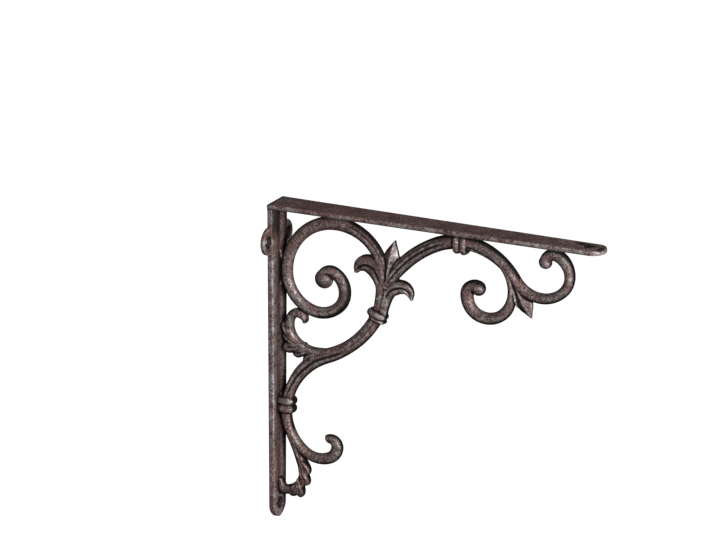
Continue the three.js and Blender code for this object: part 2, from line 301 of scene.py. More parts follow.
# %% Front branch, inner volute and fork leaf
strand([81.3, 47.9], 61, [[80, -37], [46.4, -51], [46, -29], [22.6, 102], [15, 48], [14.5, 59], [7, 99]],
       [[0, 7], [0.1, 9.8], [0.35, 9.8], [0.45, 9.2], [0.57, 7.6], [0.68, 7.2], [0.76, 7], [0.86, 7], [0.93, 9],
        [1, 7.4]],
       grooves=[(0.0, 0.3, 0.05, 0.12, 1.1, 0.7), (0.0, 0.28, -0.55, -0.5, 0.5, 0.5),
                (0.34, 0.62, 0.45, 0.75, 0.8, 0.6)])
eye([197.4, 14.8], 4.6, 8.2)
strand([165.3, 19.5], -42, [[25, -74], [17.6, -81], [13.5, -80], [7, -88]],
       [[0, 6], [0.3, 6.2], [0.42, 7.6], [0.6, 8], [0.8, 8.6], [0.9, 9.2], [1, 7]],
       grooves=[(0.1, 0.35, -0.5, -0.4, 0.5, 0.5)])
eye([148.8, 39.2], 5.2, 8.6)
leaf([174.6, 31], -57.5, [[200, -7.6]], [[0, 3], [0.35, 8], [0.6, 11.8], [0.72, 10.2], [1, 0.8]])
leaf([174.8, 36], -72, [[60, -12]], [[0, 4], [0.5, 5], [1, 0.8]])
print("skins with the front branch:", len(skins))

# %% [markdown]
# ## The lower branch, its hook and the leafy scroll
# Below the upper collar two stalks run down to the wall plate with a dark groove between them, pass the lower
# collar and turn out into a hook. The small leafy scroll grows back from them, with five lobes beneath it.

# %% Lower branch and leafy scroll
strand([76.2, 66.6], -116, [[69, -43], [48, 58], [32, 66], [18.7, 59], [9.2, 58], [5.2, 124]],
       [[0, 9], [0.2, 8.9], [0.31, 10.2], [0.42, 9.2], [0.5, 7.8], [0.65, 7.2], [0.8, 6.5], [0.9, 8.2], [0.96, 8],
        [1, 5]],
       depths=[[0, 1], [0.97, 1], [1, 0.75]],
       grooves=[(0.2, 0.56, -0.25, 0.1, 1.3, 0.8), (0.0, 0.2, -0.1, -0.1, 0.6, 0.6)])
strand([41.6, 97], -154, [[26, -26], [22, -36], [15.5, -54], [12, -26], [5.7, -92], [5, -72]],
       [[0, 4], [0.15, 6.4], [0.4, 6.2], [0.6, 5.8], [0.8, 6.2], [0.92, 6.4], [1, 1.6]],
       grooves=[(0.1, 0.7, -0.2, 0.1, 0.5, 0.5)])
LOBE_WIDTHS = [[0, 0.2], [0.45, 0.85], [0.7, 1], [0.85, 0.9], [0.94, 0.65], [1, 0.2]]
LOBE_VEINS = [(0.1, 0.85, -0.1, 0.05, 0.8, 0.55)]


def lobe(start, heading, length, width, turn, depth):
    """A leaf with a rounded end and one vein, its width given at its widest."""
    bends = [[length / np.radians(abs(turn)), turn]]
    widths = [[share, value * width] for share, value in LOBE_WIDTHS]
    leaf(start, heading, bends, widths, depths=((0, 0.8), (0.45, 1), (0.75, 0.72), (1, 0.4)), depth=depth,
         section=cupped_section, grooves=LOBE_VEINS)


for root, heading, length, width, turn in (([13.8, 91.6], 134, 12, 6.2, -16), ([17.6, 95], 160, 12, 6.6, -10),
                                           ([22.5, 95.4], -166, 16.4, 8.2, 4), ([27, 97.4], -158, 14.2, 7, 4),
                                           ([33.4, 98.6], -145, 15, 6.6, 4)):
    lobe(root, heading, length, width, turn, depth=8.8)
print("skins with the lower branch and the leafy scroll:", len(skins))

# %% [markdown]
# ## The flower
# Two stalks rise from the upper collar and open into curled leaves, with a pointed leaf between them.

# %% Flower
leaf([74.7, 68.2], 72, [[80, 12], [22, 40], [8, 90], [8, 50]],
     [[0, 6.6], [0.4, 7.4], [0.55, 11], [0.68, 13.4], [0.8, 12], [0.9, 8.6], [1, 2]],
     depths=((0, 0.75), (0.6, 1), (1, 0.5)), section=cupped_section,
     grooves=[(0.4, 1.0, 0.1, -0.25, 1.2, 0.6), (0.0, 0.42, 0.58, 0.62, 1.1, 0.6)])
leaf([78.6, 68.2], 83, [[50, -18], [12, -60], [6.5, -80], [20, -10]],
     [[0, 6.6], [0.35, 7.6], [0.6, 10], [0.78, 8.4], [0.9, 5.6], [1, 1]],
     section=cupped_section, grooves=[(0.3, 0.97, 0.0, 0.1, 1.2, 0.6), (0.0, 0.42, -0.6, -0.62, 1.1, 0.6)])
leaf([82.8, 46], 84, [[210, -8.5]], [[0, 4], [0.45, 8], [0.66, 11], [0.8, 7.4], [1, 0.8]],
     depths=[[0, 0.9], [0.6, 1.1], [1, 0.45]])
print("skins with the flower:", len(skins))

# %% [markdown]
# ## The frond at the foot
# A stem leaves the hook and turns back to the wall plate, with four rounded lobes on its outer side. A small
# gusset fills the corner between the stem's end and the wall plate.

# %% Foot frond
strand([11, 158.5], -59, [[110, -12], [12.6, -61], [14.3, -60], [4, 0]],
       [[0, 4], [0.3, 6.6], [0.5, 7], [0.7, 6.6], [0.85, 6.4], [1, 8]], depths=((0, 1), (0.8, 0.85), (1, 0.5)),
       grooves=[(0.2, 0.75, 0.25, 0.3, 1.0, 0.5), (0.2, 0.75, -0.3, -0.3, 1.0, 0.5)])
for root, heading, length, width in (([17.2, 171.4], -56, 15, 6.2), ([18.4, 179], -63, 14, 6.2),
                                     ([17.4, 187.7], -80, 13, 6.2), ([17, 190.3], -115, 11, 7.2)):
    lobe(root, heading, length, width, turn=-4, depth=8.6)
leaf([6, 197.6], 102, [[8.5, 0]], [[0, 4.4], [0.5, 5.6], [1, 3]], depths=((0, 0.9), (0.5, 1), (1, 0.7)),
     depth=6.6, section=round_section)
print("skins with the frond:", len(skins))

# %% [markdown]
# ## Collars
# Each collar is two beads side by side, deeper than the strands that they clasp. The upper collar's lower bead
# is a slim neck.

# %% Collars
COLLAR_DEPTH = 11
NECK_DEPTH = 9.6
bead([75.5, 67.0], 72, 14.4, 4.6, COLLAR_DEPTH)
bead([75.5, 70.5], 70, 12.4, 2.4, NECK_DEPTH)
bead([134, 10.8], 0, 13.4, 4.8, COLLAR_DEPTH)
bead([139, 10.8], 0, 14.2, 4.8, COLLAR_DEPTH)
bead([9.1, 135.4], 90, 12.4, 5.2, COLLAR_DEPTH)
bead([9.1, 140.8], 90, 12, 5.2, COLLAR_DEPTH)
print("skins with the collars:", len(skins))

# %% [markdown]
# ## Seats
# Where a scroll lies against a plate, a founder fills the thin gap between them, because a thin fin of sand
# there would break away. Each seat is a flat lens, thin from front to back and hidden between its neighbours.

# %% Seats that fill the gap between a scroll and a plate
SEAT_DEPTH = 2.6
SEAT_TIP_WIDTH = 0.8
for start, heading, length, width in (([33, 3.6], 0, 29, 6.4), ([118, 3.6], 0, 36, 7), ([194, 3.6], 0, 22, 6.4),
                                      ([4.4, 33], -90, 24, 4.6), ([4.4, 131], -90, 16, 7)):
    strand(start, heading, [[length, 0]], [[0, SEAT_TIP_WIDTH], [0.5, width], [1, SEAT_TIP_WIDTH]],
           depth=SEAT_DEPTH, section=np.ones_like)
print("skins of scrollwork:", len(skins))

# %% [markdown]
# ## The plates and the screw ears
# The arm and the wall plate are tongues: straight and slightly tapered, with a rounded end. Their outline is
# repeated at several levels, drawn in a little at the first and last ones, which rounds the edges as a worn
# casting's are.

# %% Plates from an outline
ARM_THICKNESS = 3.4
WALL_THICKNESS = 4.2
EAR_THICKNESS = 3.2
EDGE_ROUNDING = 0.9
END_POINTS, SIDE_POINTS, EAR_POINTS, EDGE_LEVELS = 24, 60, 40, 6


def tongue(root_width, tip_width, length, end_length, end_share):
    """Outline of a tapered tongue along the first axis, its end a pair of cubic curves
    (1-t)^3 a + 3 (1-t)^2 t b + 3 (1-t) t^2 c + t^3 d."""
    root, tip, shoulder = root_width / 2, tip_width / 2, length - end_length
    t = np.linspace(0, 1, END_POINTS)[:, None]
    a, b, c, d = (np.array(p) for p in ((shoulder, -tip), (shoulder + 0.6 * end_length, -tip),
                                        (length, -tip * end_share), (length, 0)))
    end = (1 - t) ** 3 * a + 3 * (1 - t) ** 2 * t * b + 3 * (1 - t) * t ** 2 * c + t ** 3 * d
    side = np.linspace(0, 1, SIDE_POINTS)[:-1, None]
    lower = np.array([0, -root]) + side * (a - np.array([0, -root]))
    half = np.concatenate([lower, end])
    return np.concatenate([half, half[-2::-1] * [1, -1]])


def lozenge(reach, radius):
    """Outline of the two ears: two half circles of one radius, their centres the reach to either side."""
    t = np.linspace(0, np.pi, EAR_POINTS)
    upper = np.stack([radius * np.cos(t), reach + radius * np.sin(t)], axis=-1)
    return np.concatenate([upper, -upper])


def slab(outline, thickness, to_frame):
    """A plate from an outline. At each level the outline moves in along its normals by r (1 - sin b) while the
    level rises by r (1 - cos b), so the edges are quarter rounds of radius r."""
    ahead, behind = np.roll(outline, -1, axis=0), np.roll(outline, 1, axis=0)
    tangent = ahead - behind
    normal = np.stack([tangent[:, 1], -tangent[:, 0]], axis=-1)
    normal /= np.linalg.norm(normal, axis=1, keepdims=True)
    b = np.linspace(0, np.pi / 2, EDGE_LEVELS)
    inset = EDGE_ROUNDING * (1 - np.sin(b))
    rise = EDGE_ROUNDING * (1 - np.cos(b))
    levels = np.concatenate([rise, thickness - rise[::-1]])
    insets = np.concatenate([inset, inset[::-1]])
    flat = outline[None] - normal[None] * insets[:, None, None]
    rows = to_frame(flat[..., 0] * MM, flat[..., 1] * MM, levels[:, None] * MM * np.ones(len(outline)))
    close_grid(np.stack(rows, axis=-1))
    return skins.pop()


def on_arm(along, side, rise):
    """The arm's outline lies level, its thickness up to the shelf plane."""
    return along, side, cad_high.z - ARM_THICKNESS * MM + rise


def on_wall(along, side, rise):
    """The wall plate's outline hangs down from inside the arm, its thickness out from the wall."""
    return rise, side, WALL_TOP * MM - along


print("plates from", ARM_THICKNESS, "to", WALL_THICKNESS, "mm thick, edges rounded by", EDGE_ROUNDING, "mm")

# %% [markdown]
# The arm's length, the shelf plane, the foot and the tips of the ears are read from the CAD box, so that the
# relief can't drift away from the solid. The plates get narrower towards their ends, as a pattern needs.

# %% Make the three plates
ARM_LENGTH = cad_high.x / MM
SHELF_PLANE = cad_high.z / MM
FOOT_END = cad_low.z / MM
EAR_TIP = cad_high.y / MM
EAR_RADIUS = 9.3
WALL_TOP = SHELF_PLANE - ARM_THICKNESS / 2
ARM_WIDTHS, ARM_POINT_LENGTH, ARM_POINT_SHARE = (22.6, 18.5), 8.5, 0.5
WALL_WIDTHS, FOOT_POINT_LENGTH, FOOT_POINT_SHARE = (21.8, 17.5), 9, 0.3
arm_skin = slab(tongue(*ARM_WIDTHS, ARM_LENGTH, ARM_POINT_LENGTH, ARM_POINT_SHARE), ARM_THICKNESS, on_arm)
wall_skin = slab(tongue(*WALL_WIDTHS, WALL_TOP - FOOT_END, FOOT_POINT_LENGTH, FOOT_POINT_SHARE),
                 WALL_THICKNESS, on_wall)
ear_skin = slab(lozenge(EAR_TIP - EAR_RADIUS, EAR_RADIUS), EAR_THICKNESS,
                lambda along, side, rise: (rise, side, -along))
print("arm", round(ARM_LENGTH, 1), "mm, wall plate", round(SHELF_PLANE - FOOT_END, 1), "mm")

# %% [markdown]
# ## Screw holes
# Two countersunk holes go through the ears, one through the foot, and one plain hole through the arm's tip for
# the shelf. Each is cut with a turned cutter from its own plate before the plates are joined.

# %% Objects, cutters and drilling
CUTTER_POINTS = 48


def new_object(name, points, faces):
    """A mesh object in the scene, from an array of points and lists of point numbers."""
    mesh = bpy.data.meshes.new(name)
    mesh.from_pydata(points.tolist(), [], faces)
    piece = bpy.data.objects.new(name, mesh)
    bpy.context.scene.collection.objects.link(piece)
    return piece


def finished_mesh(piece):
    """The piece's mesh with its modifiers worked in."""
    evaluated = piece.evaluated_get(bpy.context.evaluated_depsgraph_get())
    return bpy.data.meshes.new_from_object(evaluated)


def turned_cutter(profile, to_frame):
    """A cutter turned from [distance along the axis, radius] pairs."""
    t = np.linspace(0, 2 * np.pi, CUTTER_POINTS, endpoint=False)
    along, radius = (np.array(profile) * MM).T
    rows = to_frame(along[:, None] * np.ones_like(t), radius[:, None] * np.cos(t), radius[:, None] * np.sin(t))
    close_grid(np.stack(rows, axis=-1))
    return skins.pop()


def drill(skin, cutters, name):
    """The mesh of a plate with its cutters taken away."""
    plate = new_object(name, *skin)
    tools = [new_object(f"{name}_cutter_{i}", *cutter) for i, cutter in enumerate(cutters)]
    for tool in tools:
        cut = plate.modifiers.new(tool.name, "BOOLEAN")
        cut.operation, cut.object, cut.solver = "DIFFERENCE", tool, "EXACT"
    mesh = finished_mesh(plate)
    for thing in (*tools, plate):
        bpy.data.objects.remove(thing)
    return mesh


print("sides of a round cutter:", CUTTER_POINTS)

# %% [markdown]
# The screws are wood screws of about 4 mm with flat heads, so each hole has a conical seat that takes the head
# flush. The top of the arm also slopes down over its last few millimetres, which a wedge cuts away.

# %% Cut the holes and the slope of the tip
SCREW_RADIUS, HEAD_RADIUS, HEAD_DEPTH = 2.3, 4.3, 1.9
SHELF_HOLE_RADIUS = 2.6
SPARE = 2
EAR_HOLE_Y = EAR_TIP - 6.7
FOOT_HOLE_Z = FOOT_END + 9.5
SHELF_HOLE_X = ARM_LENGTH - 13.5
BEVEL_LENGTH, BEVEL_DROP = 3.4, 1.5
BEVEL_ASIDE, BEVEL_CLEARANCE = 14, 0.01


def countersink(y, z, front):
    """A cutter for a screw hole with a conical seat, in a plate whose front lies this far from the wall."""
    profile = [[-SPARE, SCREW_RADIUS], [front - HEAD_DEPTH, SCREW_RADIUS], [front, HEAD_RADIUS],
               [front + SPARE, HEAD_RADIUS]]
    return turned_cutter(profile, lambda along, u, v: (along, y * MM + u, z * MM + v))


shelf_hole = turned_cutter([[-SPARE, SHELF_HOLE_RADIUS], [ARM_THICKNESS + SPARE, SHELF_HOLE_RADIUS]],
                           lambda along, u, v: (SHELF_HOLE_X * MM + u, v,
                                                (SHELF_PLANE - ARM_THICKNESS) * MM + along))
wedge = np.array([[ARM_LENGTH - BEVEL_LENGTH, SHELF_PLANE + BEVEL_CLEARANCE],
                  [ARM_LENGTH + BEVEL_LENGTH, SHELF_PLANE + BEVEL_CLEARANCE],
                  [ARM_LENGTH + BEVEL_LENGTH, SHELF_PLANE - 2 * BEVEL_DROP]])
close_grid(np.stack([np.insert(wedge, 1, y, axis=1) for y in (-BEVEL_ASIDE, BEVEL_ASIDE)]) * MM)
tip_bevel = skins.pop()
plates = [
    drill(arm_skin, [shelf_hole, tip_bevel], "arm"),
    drill(wall_skin, [countersink(0, FOOT_HOLE_Z, WALL_THICKNESS)], "wall_plate"),
    drill(ear_skin, [countersink(y, 0, EAR_THICKNESS) for y in (-EAR_HOLE_Y, EAR_HOLE_Y)], "ears"),
]
print("holes cut, plate faces:", [len(plate.polygons) for plate in plates])

# %% [markdown]
# ## One casting
# All skins go into one mesh, and a voxel remesh melts them together the way molten iron fills one mould: inner
# walls vanish, and the joints between strands and plates become continuous. A few rounds of smoothing give the
# joints the small fillets of a casting.

# %% Fuse the skins
VOXEL = 0.42 * MM
SOFTENING, SOFTENING_ROUNDS = 0.5, 3


def gather(name, meshes):
    """One mesh from the skins and the drilled plates."""
    points, faces, offset = [], [], 0
    for skin_points, skin_faces in skins:
        points.append(skin_points)
        faces += [[v + offset for v in face] for face in skin_faces]
        offset += len(skin_points)
    for mesh in meshes:
        co = np.empty(len(mesh.vertices) * 3)
        mesh.vertices.foreach_get("co", co)
        points.append(co.reshape(-1, 3))
        faces += [[v + offset for v in face.vertices] for face in mesh.polygons]
        offset += len(mesh.vertices)
    return new_object(name, np.concatenate(points), faces)


casting = gather("bracket_casting", plates)
remesh = casting.modifiers.new("fuse", "REMESH")
remesh.mode, remesh.voxel_size, remesh.adaptivity = "VOXEL", VOXEL, 0
soften = casting.modifiers.new("soften", "SMOOTH")
soften.factor, soften.iterations = SOFTENING, SOFTENING_ROUNDS
casting.data = finished_mesh(casting)
casting.modifiers.clear()
print("fused faces:", len(casting.data.polygons))

# %% [markdown]
# ## Where iron wears and where the hollows darken
# Hands and cloths rub the crests bright, while soot and rust stay in the hollows, and the hollows are painted
# darker still as shade. Both are read from the shape itself. The surface is averaged with its neighbours many
# times, and a point that stands above the averaged surface is a crest, while one below it is a hollow.

# %% Measure crests and hollows
FINE_ROUNDS, BROAD_ROUNDS = 14, 60
FULL_CREST, FULL_HOLLOW, FULL_BROAD_HOLLOW = 0.17, 0.2, 0.5
HOLLOW_SHARE = 0.6


def arrays_of(mesh):
    """The points, their normals and the edges of a mesh, as arrays."""
    points = np.empty(len(mesh.vertices) * 3)
    mesh.vertices.foreach_get("co", points)
    normals = np.empty(len(mesh.vertices) * 3, np.float32)
    mesh.vertex_normals.foreach_get("vector", normals)
    edges = np.empty(len(mesh.edges) * 2, np.int64)
    mesh.edges.foreach_get("vertices", edges)
    return points.reshape(-1, 3), normals.reshape(-1, 3), edges.reshape(-1, 2)


points, normals, edges = arrays_of(casting.data)
near_end, far_end = np.concatenate([edges, edges[:, ::-1]]).T
neighbours = np.maximum(np.bincount(near_end, minlength=len(points)), 1)[:, None]


def average(values, rounds):
    """Each value becomes the mean of itself and the mean of its neighbours, that many times over."""
    for _ in range(rounds):
        sums = [np.bincount(near_end, column[far_end], minlength=len(points)) for column in values.T]
        values = (values + np.stack(sums, axis=-1) / neighbours) / 2
    return values


def held(values):
    """The values held between 0 and 1."""
    return np.clip(values, 0, 1)


fine = average(points, FINE_ROUNDS)
broad = average(fine, BROAD_ROUNDS)
stand_out_fine = np.einsum("ij,ij->i", points - fine, normals) / MM
stand_out_broad = np.einsum("ij,ij->i", points - broad, normals) / MM
crest = held(stand_out_fine / FULL_CREST)
hollow = HOLLOW_SHARE * (held(-stand_out_fine / FULL_HOLLOW) + held(-stand_out_broad / FULL_BROAD_HOLLOW))
print("fine stand-out in mm:", np.percentile(stand_out_fine, [2, 50, 98]).round(3),
      "broad:", np.percentile(stand_out_broad, [2, 50, 98]).round(3))

# %% [markdown]
# ## Walls turned from the light
# The upright walls of the scrollwork are painted nearly black as shade, so each strand seems to have a dark
# outline. A wall counts the more the less it looks to the front, and a bit more where it looks down. Walls that
# look in to the middle of a scroll are paler on the real bracket, and a few stretches are darker than this rule
# gives, such as under the arm and round the big spiral, so they are named by their place and get more painted
# shade.

# %% Measure the walls and their painted shade
SCROLL_MIDDLES = (((42, 46), 45), ((199, 24), 20), ((151, 40), 26), ((31, 159), 17), ((22, 86), 14),
                  ((48, 60), 50))
INWARD_RELIEF = 0.7
x_mm, y_mm, z_mm = (points / MM).T
nx, ny, nz = normals.T


def keep(name, values, rounds=2):
    """Keeps a value on each point of the mesh for the finish, after a little averaging."""
    attribute = casting.data.attributes.new(name, "FLOAT", "POINT")
    attribute.data.foreach_set("value", average(values[:, None], rounds)[:, 0].astype(np.float32))
    print(f"{name}: more than a half on {np.mean(values > 0.5):.1%} of the points")


def within(x, z, reach):
    """The points that lie within the reach of a place, seen from the side, in mm."""
    return np.hypot(x_mm - x, z_mm - z) < reach


def looks_inwards():
    """How squarely each wall looks at the middle of a scroll within reach, from 0 to 1."""
    most = np.zeros(len(points))
    for middle, reach in SCROLL_MIDDLES:
        x, z = place(*middle)
        dx, dz = x - points[:, 0], z - points[:, 2]
        distance = np.hypot(dx, dz)
        most = np.maximum(most, held(1.6 * (nx * dx + nz * dz) / distance) * (distance < reach * MM))
    return most


in_scrolls = (x_mm > 5) & (z_mm < SHELF_PLANE - 4)
under = held(-2.2 * nz - 0.9 * nx)
outwards = held(1.5 * nx)
on_limb = within(73, 1, 22) & (x_mm < 80)
# Stretches in deeper shade, under the arm and round the big spiral, get more painted shade.
darker = (0.6 * within(42, -24, 26) * held(0.9 * nx - 0.9 * nz)
          + 0.6 * on_limb * held(0.9 * nx + 0.9 * nz)
          + 0.4 * ((x_mm > 80) & (z_mm > -32)) * held(1.2 * nz))
start = 0.88 + 0.2 * under - 0.12 * outwards + darker
painted_wall_shade = in_scrolls * held((start - np.abs(ny)) / (0.4 - 0.16 * under))
painted_wall_shade *= 1 - INWARD_RELIEF * looks_inwards() * (1 - on_limb)
# Painted shade at the tip of a leaf of the leafy scroll.
leaf_tip = np.hypot(x_mm - 24.6, z_mm + 54)
painted_wall_shade = np.maximum(painted_wall_shade, 0.7 * held((3.4 - leaf_tip) / 2))
# The side attribute holds the painted shade of the walls.
keep("side", painted_wall_shade)

# %% [markdown]
# ## Painted shade in the holes, and crests that stay dark
# The screw holes are painted dark for the shade inside them. The frond at the foot, its root, the seat beside the
# wall plate and the tip of the small leafy scroll get less of the rubbed colour on their crests than the others.
# The plates are marked as well, because their flat faces have a finish of their own.

# %% Measure the painted shade of the holes and the crests that stay dark
HOLE_SHADE_REACH, SHELF_HOLE_SHADE_REACH = 4.6, 3.2
FOOT_HOLE_SHADE_SIDE = 1.6
# Painted shade inside the screw holes and round the shelf hole.
hole_shade = np.zeros(len(points), bool)
for y, z, front in ((FOOT_HOLE_SHADE_SIDE, FOOT_HOLE_Z, WALL_THICKNESS), (EAR_HOLE_Y, 0, EAR_THICKNESS),
                    (-EAR_HOLE_Y, 0, EAR_THICKNESS)):
    hole_shade |= (np.hypot(y_mm - y, z_mm - z) < HOLE_SHADE_REACH) & (x_mm < front - 0.15)
hole_shade |= (np.hypot(x_mm - SHELF_HOLE_X, y_mm) < SHELF_HOLE_SHADE_REACH) & (z_mm < SHELF_PLANE - 0.3)
keep("hole_shade", hole_shade.astype(float), 3)

in_frond = (x_mm < 34) & (z_mm < -138)
in_root = (x_mm < 9) & (z_mm < -150)
on_seat = (x_mm < 7.5) & (z_mm < 5) & (z_mm > -35) & (np.abs(y_mm) < 4)
# These places get less of the rubbed colour on their crests.
for share, less_rubbed in ((0.7, in_frond), (0.6, in_root), (0.5, on_seat), (0.7, within(24.4, -52.4, 3.6))):
    crest = crest * (1 - share * less_rubbed)
keep("plate", 1.0 - in_scrolls, 3)
keep("crest", crest)
keep("hollow", hollow)

# %% [markdown]
# ## Fewer triangles
# The fused mesh has the same fineness everywhere. A collapse takes triangles away where the surface is flat,
# which keeps their number in bounds, and the values on the points go along with it.

# %% Thin out the flat regions
MOST_TRIANGLES = 190_000
thin = casting.modifiers.new("thin", "DECIMATE")
thin.ratio = min(1.0, MOST_TRIANGLES / (2 * len(casting.data.polygons)))
casting.data = finished_mesh(casting)
casting.modifiers.clear()
casting.data.shade_smooth()
print("triangles of the casting:", sum(len(face.vertices) - 2 for face in casting.data.polygons))

# %% [markdown]
# ## Shader maths
# A small class wraps a socket, so that a mask is written as ordinary maths, and each operation adds its node.

# %% Nodes as expressions
iron = bpy.data.materials.new("cast_iron_finish")
iron.use_nodes = True
tree = iron.node_tree


class Value:
    """A number that changes over the surface, held by a node's socket."""

    def __init__(self, socket):
        self.socket = socket

    def math(self, operation, *others, swap=False):
        """This value and the others through one Math node, the last one first if swapped."""
        inputs = [self, *others]
        return node("ShaderNodeMath", {"operation": operation}, dict(enumerate(inputs[::-1] if swap else inputs)))

    def __add__(self, other):
        return self.math("ADD", other)

    def __sub__(self, other):
        return self.math("SUBTRACT", other)

    def __rsub__(self, other):
        return self.math("SUBTRACT", other, swap=True)

    def __mul__(self, other):
        return self.math("MULTIPLY", other)

    __radd__, __rmul__ = __add__, __mul__


def node(kind, settings, values, output=0):
    """Adds a node: its settings first, then the values or links of its sockets."""
    made = tree.nodes.new(kind)
    for name, setting in settings.items():
        setattr(made, name, setting)
    for name, value in values.items():
        if isinstance(value, Value):
            tree.links.new(value.socket, made.inputs[name])
        else:
            made.inputs[name].default_value = value
    return Value(made.outputs[output])


def noise(scale, detail, roughness, shift=0.0):
    """Cloudy noise fixed to the object, moved by the shift so that no two are alike."""
    moved = node("ShaderNodeMapping", {}, {"Vector": object_place, "Location": (shift, shift, shift)})
    return node("ShaderNodeTexNoise", {}, {"Vector": moved, "Scale": scale, "Detail": detail,
                                           "Roughness": roughness})


def spread(value, low, high, to_low=0.0, to_high=1.0):
    """The value stretched so that low becomes to_low and high becomes to_high, and held there beyond."""
    return node("ShaderNodeMapRange", {"clamp": True}, {"Value": value, "From Min": low, "From Max": high,
                                                        "To Min": to_low, "To Max": to_high})


def near(value, centre, reach):
    """1 where the value is at the centre, falling to 0 at the reach to either side."""
    return spread((value - centre).math("ABSOLUTE"), 0, reach, 1, 0)


def blend(factor, first, second):
    """The first colour going over to the second as the factor goes from 0 to 1."""
    made = tree.nodes.new("ShaderNodeMix")
    made.data_type = "RGBA"
    sockets = [s for s in made.inputs if s.enabled]
    for socket, value in zip(sockets, (factor, first, second)):
        if isinstance(value, Value):
            tree.links.new(value.socket, socket)
        else:
            socket.default_value = value
    return Value([s for s in made.outputs if s.enabled][0])


object_place = node("ShaderNodeTexCoord", {}, {}, "Object")
print("nodes to start with:", len(tree.nodes))

# %% [markdown]
# ## The finish of old iron
# The skin is a dark warm brown with broad reddish and greyish clouds. The crests are rubbed to a pale grey,
# broken up by the grain, and the same grey is painted on as highlights. The plates have deep red stains, the
# hollows are nearly black with soot and painted shade, and the walls turned from the light are painted nearly
# black as shade. The grain is the print of the moulding sand, fine pits less than half a millimetre across, over
# slower ripples of a millimetre or two.

# %% Colours and noises
BROWN = (0.116, 0.078, 0.073, 1)
REDDISH = (0.154, 0.08, 0.072, 1)
GREYISH = (0.143, 0.108, 0.103, 1)
# Pale grey for rubbed iron and for painted highlights.
WORN_AND_LIT = (0.46, 0.463, 0.459, 1)
# Near black for soot in pits and hollows, and for painted shade on walls, in holes and on the plates.
SOOT_AND_SHADE = (0.004, 0.0025, 0.0025, 1)
DEEP = (0.06, 0.024, 0.018, 1)

clouds = spread(noise(45, 4, 0.6), 0.4, 0.62)
patches = spread(noise(110, 4, 0.6, 3.1), 0.45, 0.65)
grain = noise(760, 3, 0.6, 1.7)
fine_grain = noise(2200, 2, 0.5, 4.4)
ripple = noise(380, 3, 0.5, 5.3)
rubbed = spread(noise(240, 4, 0.65, 8.2), 0.38, 0.68)
print("nodes with the noises:", len(tree.nodes))

# %% [markdown]
# ## Places on the plates
# The flat plates carry marks that no shape explains, such as darker bands, painted shade, painted highlights and
# rubbed edges. They are placed by masks in millimetres of the bracket's own frame, each 1 on its place and 0
# elsewhere. Distances from the middle are taken with the taper of the plate added, so that an edge has one
# distance all along.

# %% Masks for the faces of the plates
ARM_TAPER, WALL_TAPER = 0.0085, 2.15
place_mm = node("ShaderNodeVectorMath", {"operation": "SCALE"}, {0: object_place, "Scale": 1 / MM})
x_at, y_at, z_at = (node("ShaderNodeSeparateXYZ", {}, {"Vector": place_mm}, axis) for axis in "XYZ")
share_down = (SHELF_PLANE - z_at) * (1 / (SHELF_PLANE - FOOT_END))
wall_y = y_at + WALL_TAPER * share_down
arm_side = y_at.math("ABSOLUTE") + ARM_TAPER * x_at
wall_side = y_at.math("ABSOLUTE") + WALL_TAPER * share_down
above = spread(z_at, SHELF_PLANE - 3.7, SHELF_PLANE - 3.3)
wall_front = (1 - above) * spread(x_at, 3.6, 3.9) * spread(x_at, 4.4, 4.8, 1, 0)
wall_flank = (1 - above) * spread(wall_side, 10.3, 10.6) * spread(x_at, 4.4, 4.8, 1, 0)
arm_top = spread(z_at, SHELF_PLANE - 1.0, SHELF_PLANE - 0.6)
arm_flank = above * (1 - arm_top) * spread(arm_side, 10.9, 11.1)
arm_end = above * spread(x_at, ARM_LENGTH - 8, ARM_LENGTH - 6)
foot = spread(z_at, FOOT_END + 16, FOOT_END + 22, 1, 0)
beside_ear = spread(z_at.math("ABSOLUTE"), 9, 13, 1, 0)
print("nodes with the places:", len(tree.nodes))

# %% [markdown]
# ## Darker marks and painted shade on the plates
# A band down the near half of the wall plate's front and one along its far half are painted shade of the
# scrollwork, and its top part below the arm is the arm's painted shadow. The plates are also darker along the
# back of the wall plate's sides, on the lower part of the arm's sides, along the far edge and the wall end of the
# arm's top, on the far side of the foot and at its bottom end, and the top of the arm has a short slanting dark
# streak before the tip and a dark patch at the tip.

# %% Lay the darker marks and the painted shade
STREAK_X, STREAK_SLANT = ARM_LENGTH - 16.3, 0.25
TIP_PATCH_X = ARM_LENGTH - 3.3
# Painted shade on the wall plate's front: the scrollwork's shade on the near half, the arm's shadow at the top,
# and the scrollwork's shade along the far half.
scroll_shade_band = 0.55 * spread(near(y_at, -2.4, 3.4), 0, 0.7) * (1 - foot)
arm_shadow = 0.9 * spread(z_at, 0, 9) * spread(y_at, -2.5, 1.5, 1, 0)
far_edge = 0.85 * spread(wall_y, 5.6, 7.4)
dirt_and_shade = wall_front * (scroll_shade_band + arm_shadow + far_edge)
# The remaining marks only make these places darker.
dirt_and_shade = dirt_and_shade + 0.6 * wall_flank * spread(x_at, 0.5, 1.6, 1, 0)
dirt_and_shade = dirt_and_shade + 0.8 * arm_flank * spread(z_at, SHELF_PLANE - 2.8, SHELF_PLANE - 1.4, 1, 0) * (1 - arm_end)
arm_far_edge = 0.9 * spread(arm_side * spread(y_at, -1, 1), 9.2, 9.9) * spread(x_at, 50, 90, 1, 0)
arm_back_edge = 0.9 * spread(x_at, 2.0, 2.8, 1, 0)
arm_wall_end = 0.45 * spread(y_at, -1, 8) * spread(x_at, 4, 24, 1, 0)
dirt_and_shade = dirt_and_shade + arm_top * (arm_far_edge + arm_back_edge + arm_wall_end)
dirt_and_shade = dirt_and_shade + 0.85 * spread(z_at, FOOT_END + 0.5, FOOT_END + 2, 1, 0) + 0.8 * foot * spread(y_at, 5.8, 7.6)
